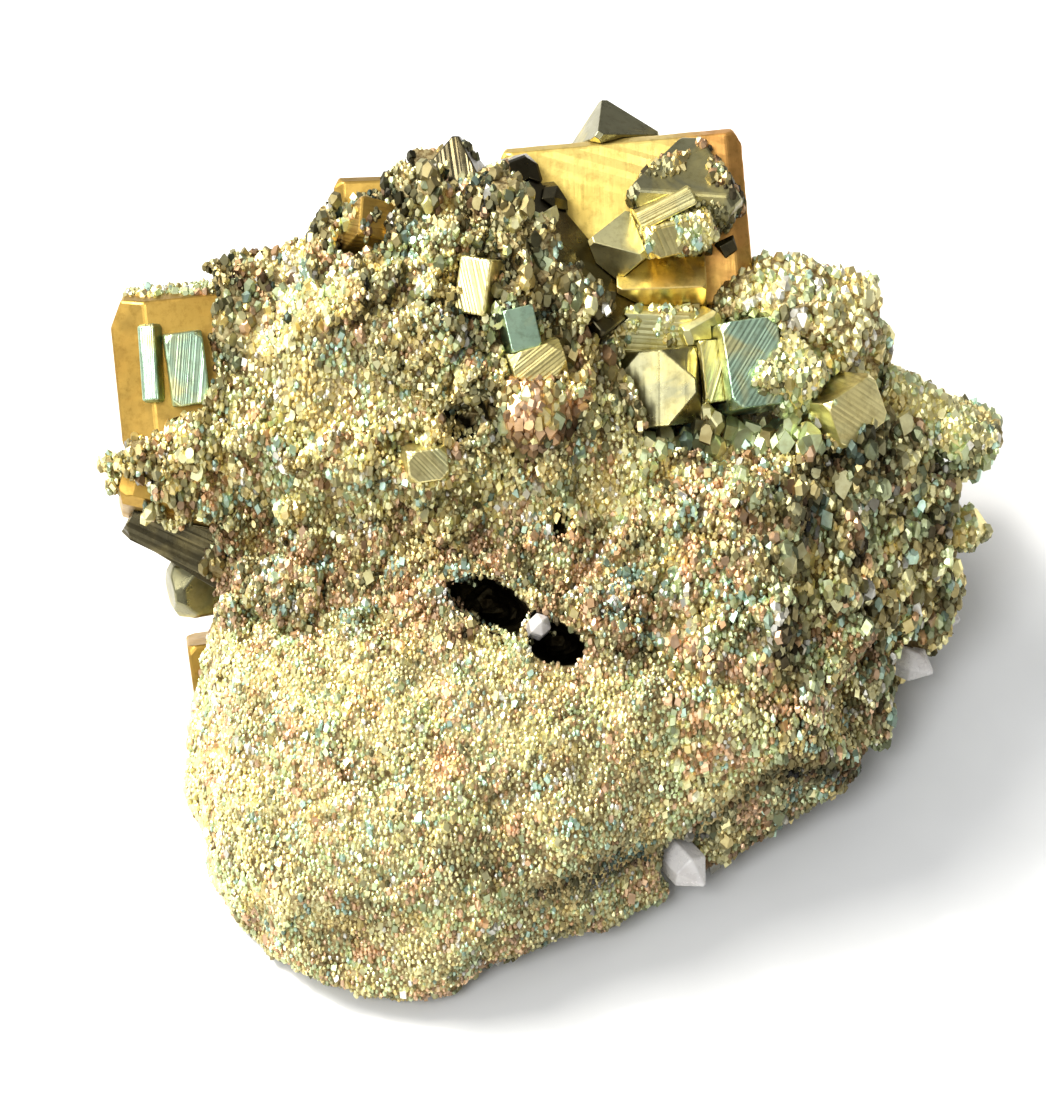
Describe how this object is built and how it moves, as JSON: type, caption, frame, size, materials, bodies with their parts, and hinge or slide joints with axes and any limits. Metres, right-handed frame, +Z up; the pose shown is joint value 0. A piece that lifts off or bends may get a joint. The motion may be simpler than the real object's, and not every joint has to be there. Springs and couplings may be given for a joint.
{
  "type": "pyrite specimen",
  "caption": "Wedge of granular pyrite resting on a flat broken base, with metallic cubes, octahedra and quartz points set into its rim, recess and back",
  "frame": {"origin": "on the flat base, under the middle of the specimen's bounding box", "axes": "X to the right along the width, Y from the sloping broken face towards the crystal-covered back, Z up"},
  "size_m": [0.0951, 0.0886, 0.0538],
  "materials": {
    "matrix": "satin",
    "gold": "gloss",
    "pale": "gloss",
    "olive": "gloss",
    "teal": "gloss",
    "copper": "satin",
    "quartz": "gloss"
  },
  "bodies": {
    "root": {"matrix": "matrix", "back_large_cube": "gold", "left_upper_cube": "gold", "left_lower_cube": "gold", "left_blade_outer": "teal", "left_blade_inner": "teal", "left_small_cuboid": "olive", "left_under_crystal": "olive", "left_foot_cube": "gold", "top_left_cube": "gold", "ridge_peak": "olive", "hill_step_cube": "gold", "hill_block": "pale", "hill_pale_block": "pale", "ridge_cube": "olive", "ridge_small_cube": "olive", "ridge_round_crystal": "olive", "ridge_teal_cube": "teal", "ridge_pale_wedge": "pale", "top_octahedron": "teal", "dark_octahedron": "olive", "right_dark_tip": "olive", "recess_bar": "pale", "recess_golden_block": "pale", "recess_teal_octahedron": "teal", "recess_slab": "gold", "recess_yellow_block": "pale", "recess_olive_cuboid": "olive", "recess_column": "pale", "recess_teal_cube": "teal", "recess_pitted_pyramid": "pale", "recess_yellow_cube": "pale", "recess_small_cube": "pale", "right_corner_crystal": "pale", "right_back_cube": "pale", "right_spike": "pale", "saddle_copper_crystal": "copper", "back_left_cube": "gold", "back_middle_cube": "gold", "back_right_cube": "gold", "back_low_pyritohedron": "gold", "back_left_octahedron": "pale", "back_right_octahedron": "pale", "back_foot_cube": "gold", "back_top_cube": "gold", "quartz_right": "quartz", "quartz_right_small": "quartz", "quartz_foot": "quartz", "quartz_back": "quartz", "quartz_cavity": "quartz"}
  },
  "joints": []
}
